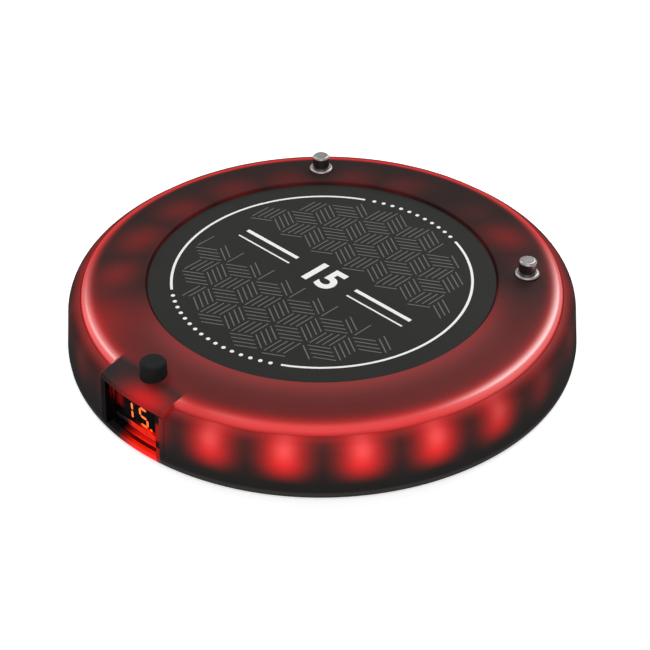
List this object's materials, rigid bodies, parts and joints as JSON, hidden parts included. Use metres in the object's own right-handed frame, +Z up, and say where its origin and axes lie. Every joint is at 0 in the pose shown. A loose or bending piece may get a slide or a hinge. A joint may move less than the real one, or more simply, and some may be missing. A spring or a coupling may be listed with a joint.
{
  "type": "guest pager",
  "caption": "Round coaster-shaped guest pager with a lit rim, side display window, push button and sprung contact pins, for stacking on its charger.",
  "frame": {"origin": "centre of the flat underside", "axes": "+Z up, -Y out of the display window, +X to the right as seen from the window side"},
  "size_m": [0.108, 0.108, 0.0183],
  "materials": {
    "smoked_housing": "smoked translucent plastic with red light behind it",
    "base_plastic": "fine moulded texture",
    "label_film": "satin printed film",
    "clear_lens": "clear polished plastic",
    "board_laminate": "solder mask",
    "display_black": "filled epoxy",
    "lit_orange": "lit",
    "black_rubber": "matte",
    "nickel": "bright nickel plate",
    "spring_steel": "drawn wire",
    "gold_plate": "gold plate",
    "led_package": "white package with clear fill",
    "chip_black": "moulded epoxy",
    "tin_plate": "tin plate",
    "copper_wire": "bare copper",
    "battery_wrap": "shrink film",
    "foam": "open foam",
    "lead_insulation": "soft plastic",
    "connector_white": "plain nylon",
    "weight_metal": "sintered metal",
    "grey_rubber": "matte",
    "can_aluminium": "satin",
    "screw_steel": "dark zinc"
  },
  "bodies": {
    "pager_body": {"top_housing": "smoked_housing", "base_cover": "base_plastic", "label_disc": "label_film", "window_lens": "clear_lens", "main_circuit_board": "board_laminate", "rim_leds": "led_package", "chip_resistors": "chip_black", "display_module": "display_black", "lit_segments": "lit_orange", "tact_switch_body": "chip_black", "contact_barrels": "nickel", "right_contact_spring": "spring_steel", "left_contact_spring": "spring_steel", "charge_pads": "gold_plate", "battery_cell": "battery_wrap", "battery_foam_pad": "foam", "battery_leads": "lead_insulation", "battery_plug": "connector_white", "battery_socket": "connector_white", "vibration_motor_can": "tin_plate", "motor_cradle": "grey_rubber", "motor_leads": "lead_insulation", "antenna_coil": "copper_wire", "radio_shield_can": "tin_plate", "radio_chip": "chip_black", "sounder": "chip_black", "control_chip": "chip_black", "led_driver_chips": "chip_black", "crystal_can": "tin_plate", "smoothing_capacitors": "can_aluminium", "housing_screws": "screw_steel"},
    "push_button": {"push_button": "black_rubber", "tact_switch_plunger": "chip_black"},
    "right_plunger": {"right_contact_plunger": "nickel"},
    "left_plunger": {"left_contact_plunger": "nickel"},
    "motor_rotor": {"motor_eccentric_weight": "weight_metal"}
  },
  "joints": [
    {"name": "push_button_press", "type": "slide", "parent": "pager_body", "child": "push_button", "axis": [0, 0, -1], "range_m": [0, 0.0005], "stiffness_N_per_m": 2500},
    {"name": "right_contact_press", "type": "slide", "parent": "pager_body", "child": "right_plunger", "axis": [0, 0, -1], "range_m": [0, 0.0015], "stiffness_N_per_m": 600, "deforming": ["right_contact_spring"]},
    {"name": "left_contact_press", "type": "slide", "parent": "pager_body", "child": "left_plunger", "axis": [0, 0, -1], "range_m": [0, 0.0015], "stiffness_N_per_m": 600, "deforming": ["left_contact_spring"]},
    {"name": "motor_spin", "type": "hinge", "parent": "pager_body", "child": "motor_rotor", "pos_m": [0, 0.028, 0.008], "axis": [1, 0, 0], "continuous": true}
  ]
}
